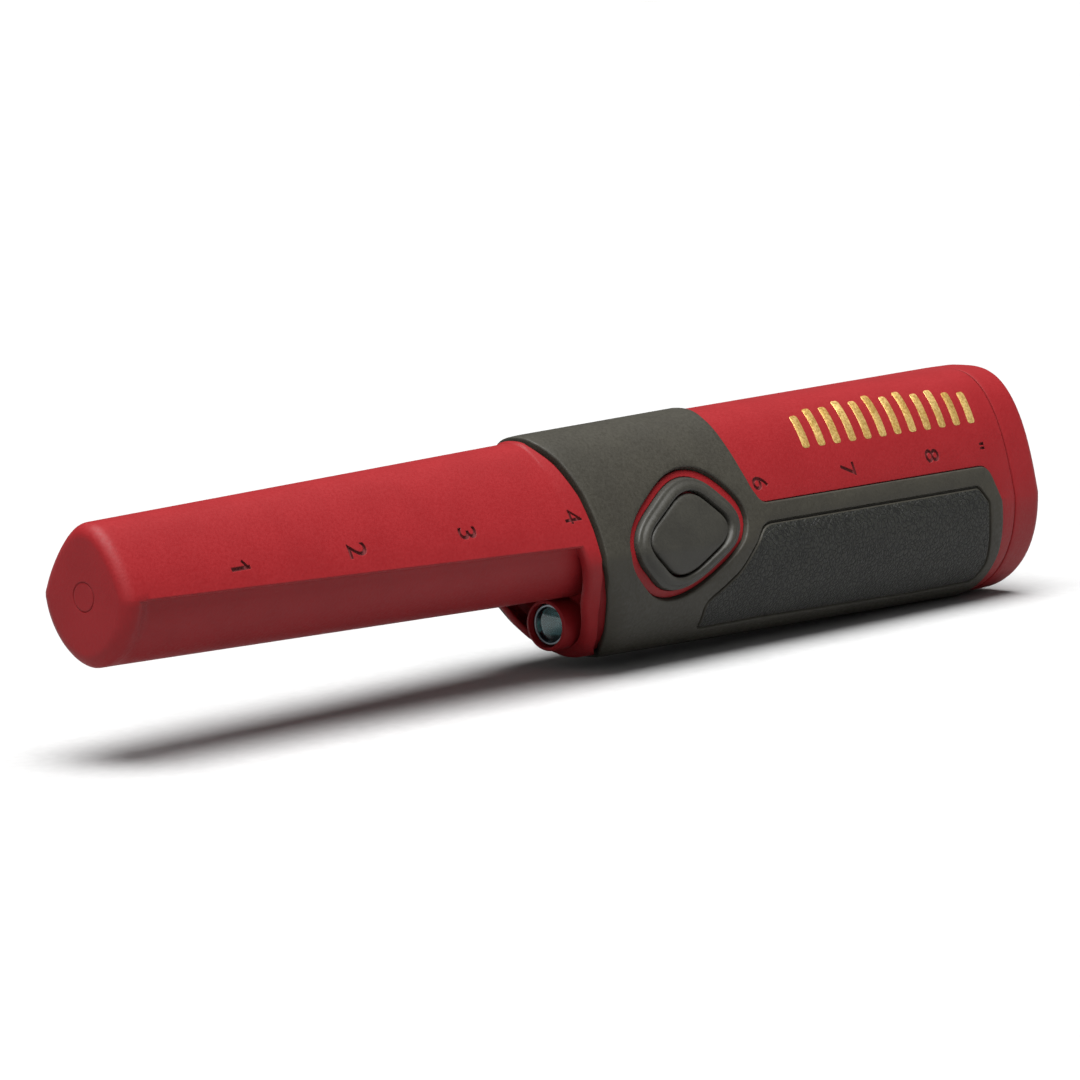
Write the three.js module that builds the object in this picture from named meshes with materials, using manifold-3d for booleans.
// Hand-held metal-detecting pinpointer probe.
// Millimetres, +Z up. X runs along the probe: the sensing tip at -X, the battery cap at +X.
// Y = 0 is the plane of symmetry. The power button is on the -Y side and the torch looks
// towards -X from under the shaft. Z = 0 is the lowest point of the belly.

import * as THREE from 'three';
import { mergeVertices } from 'three/addons/utils/BufferGeometryUtils.js';
import Module from 'manifold-3d';

const wasm = await Module();
wasm.setup();

// ---------------------------------------------------------------- driving dimensions

const LENGTH = 235;            // tip face to cap end
const AXIS_Z = 27.55;          // height of the shaft axis above the lowest point of the belly
const LEDGE_END = 100.5;       // distance from the tip where the scraper ledge stops
const SHOULDER = 99;           // distance from the tip where the handle begins
const SEAM = 225;              // distance from the tip of the battery cap's seam
const WALL = 2;                // moulded wall
const GAP = 0.3;               // clearance between neighbouring pieces
const BELLY_SLOPE = 0.0215;    // rise of the belly towards the tip
const GRIP_END = 221.5;        // rear edge of the rubber, from the tip
const GRIP_BORDER = -0.9;      // upper edge of the rubber saddle, above the shaft axis
const SKIN = 0.55;             // how far the rubber stands proud of the casing
const SKIN_DEPTH = 0.9;        // how deep the rubber is let into the casing

const BUTTON_AT = 128;         // button centre, from the tip
const BUTTON_UP = -4;          // button centre, above the shaft axis
const BUTTON_LONG = 10.5;      // half length of the key
const BUTTON_TALL = 6.8;       // half height of the key
const RIM_SQUEEZE = 0.75;      // the rims round the key are this much narrower above and below it
const KEY_GAP = 0.5;           // moat between key and bezel
const BEZEL_RIM = 3;           // width of the raised bezel
const WINDOW_RIM = 2.1;        // width of casing that shows around the bezel

const TORCH_AT = 108.4;        // front of the torch lens, from the tip
const TORCH_UP = -18.7;        // torch axis, above the shaft axis
const TORCH_R = 3.7;           // torch lens radius
const BOSS_R = 5.1;            // outer radius of the torch boss

const BAY_UP = -6.5;           // battery bay centre, above the shaft axis
const MOUTH_R = 15.2;          // round mouth that the cap plugs into
const SPIGOT_R = 14.8;         // plug of the battery cap
const SPIGOT = 8.6;            // length of that plug
const CAP_TURN = Math.PI / 2;  // a quarter turn opens the cap
const CAP_TRAVEL = 9.4;        // how far the quarter turn draws the cap out
const LUG_LONG = 2;            // lug length along the axis
const LUG_WIDE = 4;            // lug width around the plug
const LUG_R = 15.9;            // radius over the lugs

const CELL_R = 7.1;            // AA cell radius
const CELL_LONG = 50.5;        // AA cell, nose to flat end
const CELL_OFF = 7.5;          // cell centres, above and below the bay centre
const CELL_TAIL = 215.6;       // rear end of both cells, from the tip
const HOLDER_WALL = 163;       // inner face of the cell holder's front wall, from the tip

const RING = 40;               // points around a lofted section

// ---------------------------------------------------------------- materials

const finish = (color, roughness, metalness = 0) =>
  new THREE.MeshStandardMaterial({ color, roughness, metalness });

const MAT = {
  red: finish('#a52c31', 0.45),
  rubber: finish('#45453d', 0.75),
  key: finish('#3e3e39', 0.6),
  lens: finish('#9fd6d8', 0.08),
  mirror: finish('#d9dde0', 0.15, 1),
  led: finish('#f0f3ea', 0.2),
  seal: finish('#1b1b1b', 0.7),
  board: finish('#1f5d34', 0.5),
  chip: finish('#1c1c1e', 0.5),
  copper: finish('#b8683a', 0.35, 1),
  ferrite: finish('#3a3a3e', 0.7),
  nylon: finish('#d8d4c6', 0.6),
  foam: finish('#5a5a5f', 0.95),
  steel: finish('#b9bcc0', 0.3, 1),
  brass: finish('#c9a14a', 0.35, 1),
  cell: finish('#2b4a86', 0.4, 0.3),
  black: finish('#202022', 0.55),
  wireRed: finish('#b3262a', 0.5),
  wireBlack: finish('#1d1d1f', 0.5),
};

// ---------------------------------------------------------------- small helpers

const fromTip = (s) => s - LENGTH / 2;
const above = (u) => u + AXIS_Z;
const mix = (a, b, t) => a + (b - a) * t;

// Straight-line interpolation through [position, value] pairs.
function along(s, pairs) {
  const last = pairs.length - 1;
  if (s <= pairs[0][0]) return pairs[0][1];
  for (let i = 1; i <= last; i += 1) {
    const [s0, v0] = pairs[i - 1];
    const [s1, v1] = pairs[i];
    if (s <= s1) return mix(v0, v1, (s - s0) / (s1 - s0));
  }
  return pairs[last][1];
}

function bare(geometry) {
  const copy = geometry.clone();
  copy.deleteAttribute('normal');
  copy.deleteAttribute('uv');
  return mergeVertices(copy, 1e-4);
}

function solid(geometry) {
  const g = bare(geometry);
  return new wasm.Manifold(new wasm.Mesh({
    numProp: 3,
    vertProperties: Float32Array.from(g.attributes.position.array),
    triVerts: Uint32Array.from(g.index.array),
  }));
}

function geometryOf(manifold) {
  const mesh = manifold.getMesh();
  const g = new THREE.BufferGeometry();
  g.setAttribute('position', new THREE.BufferAttribute(mesh.vertProperties, 3));
  g.setIndex(new THREE.BufferAttribute(mesh.triVerts, 1));
  g.computeVertexNormals();
  return g;
}

const joined = (...solids) => solids.reduce((a, b) => a.add(b));
const cutBy = (body, ...tools) => tools.reduce((a, b) => a.subtract(b), body);

// ---------------------------------------------------------------- cross-sections

// A section is { half, top, low, waist, crown, taper, belly }: half width, highest and lowest
// point, height of the widest line, and the fullness of the upper and lower curves.

const shaftWaist = (s) => -0.35 - 0.026 * s;

const shaftSection = (s) => ({
  half: 10.1 + 0.049 * s,
  top: 11.05 + 0.029 * s,
  low: -11.75 - 0.0222 * s,
  waist: shaftWaist(s),
  crown: 2.3,
  taper: 0.42,
  belly: 1.75,
});

const handleSection = (s) => ({
  half: along(s, [[99, 15.6], [106, 16.2], [150, 16.6], [SEAM, 17.1]]),
  top: along(s, [[99, 14.2], [104, 14.5], [150, 15.55], [SEAM, 16.7]]),
  low: along(s, [[99, -24.7], [117, -25.1], [SEAM, -27.35]]),
  waist: along(s, [[99, -5.5], [150, -7], [SEAM, -7.5]]),
  crown: along(s, [[99, 2.4], [150, 2.5], [SEAM, 3]]),
  taper: along(s, [[99, 0.38], [150, 0.36], [SEAM, 0.28]]),
  belly: along(s, [[99, 2.1], [150, 2.2], [SEAM, 2.25]]),
});

const inset = (section, by) => ({
  ...section,
  half: section.half - by,
  top: section.top - by,
  low: section.low + by,
});

// Points of the +Y half of a section from top to bottom, evenly spaced along the curve.
function halfOutline(section, steps) {
  const { half, top, low, waist, crown, taper, belly } = section;
  const fine = 90;
  const points = [];
  for (let i = 0; i <= fine; i += 1) {
    const angle = Math.PI / 2 * (1 - i / fine);
    const t = Math.sin(angle) ** (2 / crown);
    const y = half * (1 - taper * t) * Math.abs(Math.cos(angle)) ** (2 / crown);
    points.push(new THREE.Vector2(i === 0 ? 0 : y, waist + (top - waist) * t));
  }
  for (let i = 1; i <= fine; i += 1) {
    const angle = Math.PI / 2 * i / fine;
    const y = half * Math.abs(Math.cos(angle)) ** (2 / belly);
    const z = waist - (waist - low) * Math.sin(angle) ** (2 / belly);
    points.push(new THREE.Vector2(i === fine ? 0 : y, z));
  }
  const run = [0];
  for (let i = 1; i < points.length; i += 1) {
    run.push(run[i - 1] + points[i].distanceTo(points[i - 1]));
  }
  const total = run[run.length - 1];
  const even = [];
  let j = 1;
  for (let k = 0; k <= steps; k += 1) {
    const target = total * k / steps;
    while (j < points.length - 1 && run[j] < target) j += 1;
    const t = (target - run[j - 1]) / (run[j] - run[j - 1]);
    even.push(points[j - 1].clone().lerp(points[j], Math.min(1, Math.max(0, t))));
  }
  return even;
}

// A solid through a row of sections: each entry of rings is [distance from tip, section].
// A unit cylinder's vertices are moved onto the sections.
function loft(rings, around = RING) {
  const last = rings.length - 1;
  const outlines = rings.map(([, section]) => halfOutline(section, around / 2));
  const g = new THREE.CylinderGeometry(1, 1, 1, around, last);
  const position = g.attributes.position;
  for (let i = 0; i < position.count; i += 1) {
    const row = Math.round((position.getY(i) + 0.5) * last);
    const [s, section] = rings[row];
    const radius = Math.hypot(position.getX(i), position.getZ(i));
    if (radius < 0.5) {
      position.setXYZ(i, fromTip(s), 0, above(section.waist));
    } else {
      const turn = Math.atan2(position.getZ(i), position.getX(i));
      const step = Math.round(Math.abs(turn) / (2 * Math.PI) * around);
      const p = outlines[row][step];
      position.setXYZ(i, fromTip(s), p.x * Math.sign(turn), above(p.y));
    }
  }
  return solid(g);
}

// Stations of the shaft, with the tip's rounded edge.
function shaftRings(from, to, by, edge = 3) {
  const rings = [];
  for (const angle of [0, 25, 45, 65, 90]) {
    const a = angle * Math.PI / 180;
    const s = from + edge * (1 - Math.cos(a));
    rings.push([s, inset(shaftSection(s), by + edge * (1 - Math.sin(a)))]);
  }
  rings.push([50, inset(shaftSection(50), by)]);
  rings.push([to, inset(shaftSection(to), by)]);
  return rings;
}

const HANDLE_STOPS = [106, 117, 133, 150, 175, 200];

function handleRings(from, to, by) {
  const middle = HANDLE_STOPS.filter((s) => s > from && s < to);
  return [from, ...middle, to].map((s) => [s, inset(handleSection(s), by)]);
}

// ---------------------------------------------------------------- plain solids

// A side-view outline of [from tip, above axis] points, extruded across the probe.
function slab(points, y0 = -40, y1 = 40) {
  const outline = points.map(([s, u]) => new THREE.Vector2(fromTip(s), above(u)));
  const shape = new THREE.Shape(outline);
  const g = new THREE.ExtrudeGeometry(shape, { depth: y1 - y0, bevelEnabled: false });
  g.rotateX(Math.PI / 2);
  g.translate(0, y1, 0);
  return solid(g);
}

function rod(radius, s0, s1, y, u, sides = 28) {
  const g = new THREE.CylinderGeometry(radius, radius, s1 - s0, sides);
  g.rotateZ(-Math.PI / 2);
  g.translate(fromTip((s0 + s1) / 2), y, above(u));
  return solid(g);
}

function crossRod(radius, s, y0, y1, u, sides = 24) {
  const g = new THREE.CylinderGeometry(radius, radius, y1 - y0, sides);
  g.translate(fromTip(s), (y0 + y1) / 2, above(u));
  return solid(g);
}

function block(s0, s1, y0, y1, u0, u1) {
  const g = new THREE.BoxGeometry(s1 - s0, y1 - y0, u1 - u0);
  g.translate(fromTip((s0 + s1) / 2), (y0 + y1) / 2, above((u0 + u1) / 2));
  return solid(g);
}

// A turned piece on an axis along X: profile of [from tip, radius] points.
function turned(profile, y, u, sides = 36) {
  const points = profile.map(([s, r]) => new THREE.Vector2(r, fromTip(s)));
  const g = new THREE.LatheGeometry(points, sides);
  g.rotateZ(-Math.PI / 2);
  g.translate(0, y, above(u));
  return solid(g);
}

// The key's outline, a rounded rhombus, grown by a margin and extruded across the probe.
function keyPlug(margin, y0, y1) {
  const outline = [];
  const sides = 32;
  const fullness = 1.75;
  for (let i = 0; i < sides; i += 1) {
    const a = 2 * Math.PI * i / sides;
    const c = Math.cos(a);
    const d = Math.sin(a);
    const s = BUTTON_AT + Math.sign(c) * Math.abs(c) ** (2 / fullness) * (BUTTON_LONG + margin);
    const u = BUTTON_UP + Math.sign(d) * Math.abs(d) ** (2 / fullness) * (BUTTON_TALL + margin * RIM_SQUEEZE);
    outline.push([s, u]);
  }
  return slab(outline, y0, y1);
}

function wire(points, radius, stepsPerBend) {
  const path = new THREE.CatmullRomCurve3(
    points.map(([s, y, u]) => new THREE.Vector3(fromTip(s), y, above(u))),
  );
  const section = new THREE.Shape();
  section.absarc(0, 0, radius, 0, 2 * Math.PI, false);
  const g = new THREE.ExtrudeGeometry(section, {
    steps: (points.length - 1) * stepsPerBend,
    curveSegments: 4,
    extrudePath: path,
  });
  return solid(g);
}

// ---------------------------------------------------------------- casing

// Side outline of the handle's front lip: level with the shaft on top, swept back below.
const LIP = [[SHOULDER, 20], [SHOULDER, -3], [100.4, -8], [102.4, -13], [105.6, -17], [109.6, -20.4],
  [112.6, -24.4], [113.4, -32]];

function casingOutside() {
  const shaft = loft(shaftRings(0, 118, 0));
  const slim = loft(shaftRings(0, 118, 0).map(([s, section]) =>
    [s, { ...section, half: section.half - 1.1 }]));
  const waist = (s) => [s, shaftWaist(s)];
  const undercut = slab([waist(3.6), waist(LEDGE_END), [LEDGE_END, -30], [3.6, -30]]);
  const ledged = shaft.subtract(undercut.subtract(slim));

  const front = slab([[80, 20], ...LIP, [80, -32]]);
  const handle = loft(handleRings(SHOULDER - 0.5, SEAM, 0)).subtract(front);
  const scoopLine = LIP.slice(1).map(([s, u]) => [s + 7.5, u * 0.97]);
  const scoopFace = slab([[80, -3], ...scoopLine.map(([s, u]) => [Math.min(s, 117), u]), [80, -32]]);
  const scoop = loft([98, 106, 117, 119].map((s) => [s, inset(handleSection(s), 2.3)]))
    .intersect(scoopFace);
  const boss = rod(BOSS_R, TORCH_AT - 1, 120, 0, TORCH_UP);
  return joined(ledged, handle.subtract(scoop), boss);
}

// Side outline of the rubber: a band behind the lip that becomes a saddle under the handle.
function gripOutline(margin) {
  const rear = GRIP_END + margin;
  const border = GRIP_BORDER + margin;
  return [
    [101.2 - margin, 30], [101.2 - margin, 14], [103.2 - margin, 10.5], [104.7 - margin, 5],
    [105.2 - margin, -1], [105.2 - margin, -7], [106.1 - margin, -11.5], [108.7 - margin, -18.7],
    [112 - margin, -22.6], [116.4 - margin, -26], [117 - margin, -40],
    [rear, -40], [rear, border - 7], [rear - 1.5, border - 2.2], [rear - 5, border],
    [151 + margin, border], [148.2 + margin, border + 1.2], [146.6 + margin, border + 4],
    [146 + margin, border + 9], [146 + margin, 30],
  ];
}

function grip() {
  const outer = loft(handleRings(SHOULDER, SEAM, -SKIN));
  const inner = loft(handleRings(SHOULDER - 1, SEAM + 1, SKIN_DEPTH));
  const window = keyPlug(KEY_GAP + BEZEL_RIM + WINDOW_RIM, -40, -4);
  const belly = (s) => [s, -AXIS_Z + (GRIP_END - s) * BELLY_SLOPE];
  const below = slab([belly(90), belly(SEAM), [SEAM, -40], [90, -40]]);
  return cutBy(outer.intersect(slab(gripOutline(0))), inner, window, below);
}

function casing() {
  const recess = loft(handleRings(SHOULDER - 1.5, SEAM + 1, -3))
    .intersect(slab(gripOutline(GAP)))
    .subtract(loft(handleRings(SHOULDER - 2, SEAM + 2, SKIN_DEPTH + GAP)));
  const island = keyPlug(KEY_GAP + BEZEL_RIM + WINDOW_RIM - GAP, -40, -4);
  const tipHollow = loft(shaftRings(WALL + 0.6, 124, WALL, 1.5), 32);
  const handleHollow = loft(handleRings(120, 212, WALL + SKIN_DEPTH), 40);
  const mouth = rod(MOUTH_R, 205, SEAM + 5, 0, BAY_UP, 48);
  const torchBore = rod(TORCH_R + 0.2, TORCH_AT - 4, 122, 0, TORCH_UP);
  const shell = cutBy(casingOutside(), recess.subtract(island), tipHollow, handleHollow, mouth, torchBore);
  const keyBoss = keyPlug(KEY_GAP + 2, -14.5, -10);
  const keyBore = keyPlug(KEY_GAP, -40, -13);
  const stemBore = crossRod(2.9, BUTTON_AT, -30, -8, BUTTON_UP);
  const bezelSeat = keyPlug(KEY_GAP + BEZEL_RIM + GAP, -40, -13.6);
  return cutBy(shell.add(keyBoss), bezelSeat, keyBore, stemBore, ...lugTracks());
}

// Each lug winds out along a quarter-turn track, cut as a row of overlapping pockets.
function lugTracks() {
  const steps = 15;
  const slack = 0.4;
  return [0, Math.PI].map((start) => {
    const pockets = [];
    for (let i = 0; i <= steps; i += 1) {
      const t = i / steps;
      const g = new THREE.BoxGeometry(LUG_LONG + 2 * slack, LUG_WIDE + 2 * slack, 3);
      g.translate(fromTip(SEAM - SPIGOT + 2.2 + CAP_TRAVEL * t), 0, LUG_R + 0.15 - 1.5);
      g.rotateX(start + CAP_TURN * t);
      g.translate(0, 0, above(BAY_UP));
      pockets.push(solid(g));
    }
    return joined(...pockets);
  });
}

// ---------------------------------------------------------------- battery cap

function cap() {
  const edge = 3.4;
  const section = handleSection(SEAM);
  const rings = [[SEAM + GAP, section]];
  for (const angle of [0, 22, 45, 67, 90]) {
    const a = angle * Math.PI / 180;
    rings.push([LENGTH - edge + edge * Math.sin(a), inset(section, edge * (1 - Math.cos(a)))]);
  }
  const lugs = [0, Math.PI].map((start) => {
    const g = new THREE.BoxGeometry(LUG_LONG, LUG_WIDE, 3);
    g.translate(fromTip(SEAM - SPIGOT + 2.2), 0, LUG_R - 1.5);
    g.rotateX(start);
    g.translate(0, 0, above(BAY_UP));
    return solid(g);
  });
  const front = SEAM - SPIGOT;
  const plug = rod(SPIGOT_R, front, SEAM + 2, 0, BAY_UP, 48);
  const ringGroove = turned([[SEAM - 3.3, 13.3], [SEAM - 3.3, 16], [SEAM - 1.3, 16], [SEAM - 1.3, 13.3],
    [SEAM - 3.3, 13.3]], 0, BAY_UP, 48);
  const cup = turned([[front - 1, 3], [front - 1, 12.4], [231, 12.4], [231, 3], [front - 1, 3]], 0, BAY_UP);
  const postTop = rod(3.4, front - 2, front + 1.6, 0, BAY_UP);
  const pinHole = rod(1.2, front - 2, front + 8, 0, BAY_UP, 12);
  return cutBy(joined(loft(rings), plug, ...lugs), ringGroove, cup, postTop, pinHole);
}

function ring(major, minor, s, y, u, sides = 36) {
  const profile = [];
  const around = 8;
  for (let i = 0; i <= around; i += 1) {
    const a = 2 * Math.PI * (i % around) / around;
    profile.push([s + minor * Math.sin(a), major + minor * Math.cos(a)]);
  }
  return turned(profile, y, u, sides);
}

// ---------------------------------------------------------------- power key

const KEY_FACE = SKIN + 0.25;

function bezel() {
  const outside = loft(handleRings(BUTTON_AT - 18, BUTTON_AT + 18, -KEY_FACE - 0.35));
  const rim = keyPlug(KEY_GAP + BEZEL_RIM, -40, -13.9);
  return cutBy(rim.intersect(outside), keyPlug(KEY_GAP, -41, -10));
}

function key() {
  const outside = loft(handleRings(BUTTON_AT - 18, BUTTON_AT + 18, -KEY_FACE));
  const pad = keyPlug(0, -40, -14.4).intersect(outside);
  const stem = crossRod(2.4, BUTTON_AT, -15, -6.4, BUTTON_UP);
  return joined(pad, stem);
}

// ---------------------------------------------------------------- assembly

const probe = new THREE.Group();

function place(name, body, material) {
  const mesh = new THREE.Mesh(geometryOf(body), material);
  mesh.name = name;
  probe.add(mesh);
}

function keySeal() {
  const washer = crossRod(2.8, BUTTON_AT, -12, -10.5, BUTTON_UP);
  return washer.subtract(crossRod(2.5, BUTTON_AT, -13, -9, BUTTON_UP));
}

function placeCap() {
  const front = SEAM - SPIGOT;
  const disc = rod(11.8, CELL_TAIL + GAP, CELL_TAIL + GAP + 0.7, 0, BAY_UP, 32);
  const pinHole = rod(1.2, front - 3, front + 8, 0, BAY_UP, 12);
  place('battery_cap', cap(), MAT.red);
  place('cap_o_ring', ring(14.15, 0.75, SEAM - 2.3, 0, BAY_UP), MAT.seal);
  place('cap_contact_disc', disc.subtract(pinHole), MAT.brass);
  place('cap_contact_pin', rod(0.9, CELL_TAIL + GAP, front + 6, 0, BAY_UP, 12), MAT.steel);
}

// ---------------------------------------------------------------- torch

function placeTorch() {
  const s = TORCH_AT;
  const r = TORCH_R;
  place('torch_lens', turned([[s, 0], [s, r - 0.5], [s + 0.5, r], [s + 1.6, r], [s + 1.6, 0]],
    0, TORCH_UP, 28), MAT.lens);
  place('torch_seal', ring(r - 0.45, 0.4, s + 2.3, 0, TORCH_UP, 24), MAT.seal);
  place('torch_reflector', turned([[s + 3, 3.4], [s + 3, r], [s + 7.4, r], [s + 7.4, 1.6], [s + 6.9, 1.6],
    [s + 3, 3.4]], 0, TORCH_UP, 28), MAT.mirror);
  const dome = new THREE.SphereGeometry(1.4, 12, 8);
  dome.translate(fromTip(s + 6), 0, above(TORCH_UP));
  const bulb = solid(dome).add(rod(1.4, s + 6, s + 8.6, 0, TORCH_UP, 12));
  place('torch_led', bulb.add(rod(1.9, s + 7.7, s + 8.6, 0, TORCH_UP, 16)), MAT.led);
  place('torch_led_board', rod(r, s + 8.9, s + 10, 0, TORCH_UP, 24), MAT.board);
}

// ---------------------------------------------------------------- sensing coil in the tip

const SENSOR_UP = -0.4;

function placeSensor() {
  const u = SENSOR_UP;
  place('tip_pad', rod(5.6, 3.2, 5.6, 0, u, 24), MAT.foam);
  place('coil_bobbin', turned([[6, 3.6], [6, 6.6], [7.2, 6.6], [7.2, 4.6], [44, 4.6], [44, 6.9], [45.4, 6.9],
    [45.4, 3.6], [6, 3.6]], 0, u, 24), MAT.nylon);
  place('coil_winding', turned([[7.5, 4.9], [7.5, 6.1], [43.7, 6.1], [43.7, 4.9], [7.5, 4.9]], 0, u, 24),
    MAT.copper);
  place('ferrite_core', rod(3.3, 6.4, 47, 0, u, 24), MAT.ferrite);
  const collar = rod(8.2, 47.6, 51, 0, u, 28).subtract(rod(2.4, 47, 52, -4.6, u, 16));
  place('coil_stopper', collar, MAT.nylon);
}

// ---------------------------------------------------------------- electronics

const BOARD_START = 103;
const BOARD_END = 160.4;
const BOARD_Y = 1.6;           // face of the board towards the power button
const BOARD_THICK = 1.2;
const SWITCH_FACE = -2.2;      // face of the push switch

function placeElectronics() {
  const back = BOARD_Y + BOARD_THICK;
  const screws = [[109, 3], [156.5, -4]];
  const wide = block(124, BOARD_END, BOARD_Y, back, -18, 6);
  const neck = block(BOARD_START, 126, BOARD_Y, back, -7, 6);
  const holes = screws.map(([s, u]) => crossRod(1.3, s, -2, 8, u, 16));
  place('main_board', cutBy(joined(wide, neck), ...holes), MAT.board);

  const tray = joined(block(124, BOARD_END, back + GAP, back + 1.8, -17, 5),
    block(BOARD_START, 126, back + GAP, back + 1.8, -6, 5));
  const bosses = screws.map(([s, u]) => crossRod(2.4, s, back + GAP, back + 4, u, 20));
  const taps = screws.map(([s, u]) => crossRod(1.3, s, 0, 10, u, 16));
  place('board_tray', cutBy(joined(tray, ...bosses), ...taps), MAT.black);
  screws.forEach(([s, u], i) => {
    const shank = crossRod(1, s, BOARD_Y - 1.4, back + 3.4, u, 16);
    const head = crossRod(2, s, BOARD_Y - 1.5, BOARD_Y - GAP, u, 20);
    place(`board_screw_${i + 1}`, joined(shank, head), MAT.steel);
  });

  const face = BOARD_Y - GAP;
  place('switch_body', cutBy(block(BUTTON_AT - 3.2, BUTTON_AT + 3.2, SWITCH_FACE, face, BUTTON_UP - 3.2, BUTTON_UP + 3.2),
    crossRod(1.9, BUTTON_AT, -8, face - 1, BUTTON_UP)), MAT.black);
  place('switch_plunger', crossRod(1.7, BUTTON_AT, -6.1, face - 2.4, BUTTON_UP, 20), MAT.nylon);
  place('controller_chip', block(136, 143, face - 1.2, face, -6, 1), MAT.chip);
  place('amplifier_chip', block(113, 118, face - 1.2, face, -4, 0), MAT.chip);
  place('drive_transistor', block(146, 152, face - 2.2, face, -3, 3.6), MAT.chip);
  place('boost_coil', crossRod(3, 149, face - 3.4, face, -10.5, 24), MAT.ferrite);
  place('reservoir_capacitor', crossRod(3.1, 140, face - 7, face, -12.5, 24), MAT.cell);
  place('sounder', crossRod(6.5, 143, back + 2.1, back + 5.4, -6, 32), MAT.brass);
  placeMotor();
}

const MOTOR_UP = -14.5;
const MOTOR_Y = -5.5;

function placeMotor() {
  const y = MOTOR_Y;
  const u = MOTOR_UP;
  place('motor_can', rod(3, 122, 131, y, u, 24).subtract(rod(0.75, 128, 132, y, u, 12)), MAT.steel);
  place('motor_sleeve', rod(3.9, 123, 129, y, u, 24).subtract(rod(3.2, 122, 130, y, u, 24)), MAT.seal);
  const shaft = rod(0.5, 128.4, 136, y, u, 12);
  const wheel = rod(2.7, 132, 135.4, y, u, 24);
  const half = block(131, 137, y - 4, y + 4, u + 0.8, u + 4);
  place('motor_weight', joined(shaft, wheel.subtract(half)), MAT.steel);
}

// ---------------------------------------------------------------- battery bay

const cellUp = (i) => BAY_UP + (i === 0 ? CELL_OFF : -CELL_OFF);

function stadium(halfWide, halfTall, s0, s1) {
  const shape = new THREE.Shape();
  const straight = halfTall - halfWide;
  shape.absarc(0, straight, halfWide, 0, Math.PI, false);
  shape.absarc(0, -straight, halfWide, Math.PI, 2 * Math.PI, false);
  const g = new THREE.ExtrudeGeometry(shape, { depth: s1 - s0, bevelEnabled: false, curveSegments: 16 });
  g.rotateX(Math.PI / 2);
  g.rotateZ(Math.PI / 2);
  g.translate(fromTip(s0), 0, above(BAY_UP));
  return solid(g);
}

function placeBatteries() {
  const bores = [0, 1].map((i) => rod(CELL_R + 0.25, HOLDER_WALL, 220, 0, cellUp(i), 32));
  const leads = [0, 1].map((i) => rod(2.4, 160, 170, 0, cellUp(i), 16));
  const holder = stadium(8, 15.1, HOLDER_WALL - 1.7, 214);
  place('cell_holder', cutBy(holder, ...bores, ...leads), MAT.black);

  // The two cells lie head to tail, so the cap's disc joins them in series.
  const front = CELL_TAIL - CELL_LONG;
  const nose = 1;
  const cells = [
    joined(rod(CELL_R, front + nose, CELL_TAIL, 0, cellUp(0)), rod(2.6, front, front + 2, 0, cellUp(0), 20)),
    joined(rod(CELL_R, front, CELL_TAIL - nose, 0, cellUp(1)),
      rod(2.6, CELL_TAIL - 2, CELL_TAIL, 0, cellUp(1), 20)),
  ];
  cells.forEach((body, i) => place(`cell_${i + 1}`, body, MAT.cell));

  const plate = rod(4.5, HOLDER_WALL + GAP, front - GAP, 0, cellUp(0), 24);
  place('contact_plus', plate.add(rod(1.2, 160.2, HOLDER_WALL + 1, 0, cellUp(0), 12)), MAT.brass);
  place('contact_spring', contactSpring(), MAT.steel);
}

// A flat conical spring between the holder's front wall and the lower cell.
function contactSpring() {
  const turns = 2.5;
  const bends = 16;
  const coil = [];
  for (let i = 0; i <= bends; i += 1) {
    const t = i / bends;
    const a = 2 * Math.PI * turns * t;
    const r = mix(1.4, 4, t);
    coil.push([mix(164.5, 163.6, t), r * Math.cos(a), cellUp(1) + r * Math.sin(a)]);
  }
  return wire(coil, 0.25, 2);
}

// ---------------------------------------------------------------- wiring

const PAD_Y = BOARD_Y - 0.8;   // centre of a lead where it is soldered to the board

function placeWires() {
  const plus = cellUp(0);
  const minus = cellUp(1);
  const runs = {
    coil_lead_1: [[46.2, -3.9, -0.4], [56, -3.9, -0.4], [80, -1.5, 1], [98, 0.2, 1.5], [105.5, PAD_Y, 1.5]],
    coil_lead_2: [[46.2, -5.3, -0.4], [56, -5.3, -0.4], [80, -3, -2], [98, -0.6, -3], [107, PAD_Y, -3]],
    torch_lead_1: [[118.9, -0.3, -17.6], [121.5, -0.2, -17], [126.5, PAD_Y, -15.4]],
    torch_lead_2: [[118.9, -0.3, -19.8], [121.8, -0.2, -19], [126.5, PAD_Y, -17.2]],
    motor_lead_1: [[130.2, -5.5, -10.7], [130.6, -3.5, -9.6], [131.5, -1, -9.2], [132.5, PAD_Y, -9.2]],
    motor_lead_2: [[122.4, -5.5, -10.7], [123.5, -3.5, -10], [125, -1, -10], [126, PAD_Y, -10]],
    sounder_lead_1: [[141, 6.5, 1.4], [141, 6.2, 5], [141, 3.8, 7.3], [141, 1.2, 7.2], [141, 0.4, 5.2]],
    sounder_lead_2: [[145, 6.5, 1.2], [145, 6.2, 5], [145, 3.8, 7.3], [145, 1.2, 7.2], [145, 0.4, 5.2]],
    battery_lead_plus: [[159.7, 0, plus], [157.3, 0, 1.3], [154.6, PAD_Y, 2]],
    battery_lead_minus: [[162.7, 0, minus], [160, 0, minus], [156, PAD_Y, -13.4]],
  };
  Object.entries(runs).forEach(([name, route], i) => {
    place(name, wire(route, 0.5, 3), i % 2 === 0 ? MAT.wireRed : MAT.wireBlack);
  });
}

place('casing', casing(), MAT.red);
place('grip', grip(), MAT.rubber);
place('key_bezel', bezel(), MAT.key);
place('power_key', key(), MAT.key);
place('key_seal', keySeal(), MAT.seal);
placeCap();
placeTorch();
placeSensor();
placeElectronics();
placeBatteries();
placeWires();

export default probe;
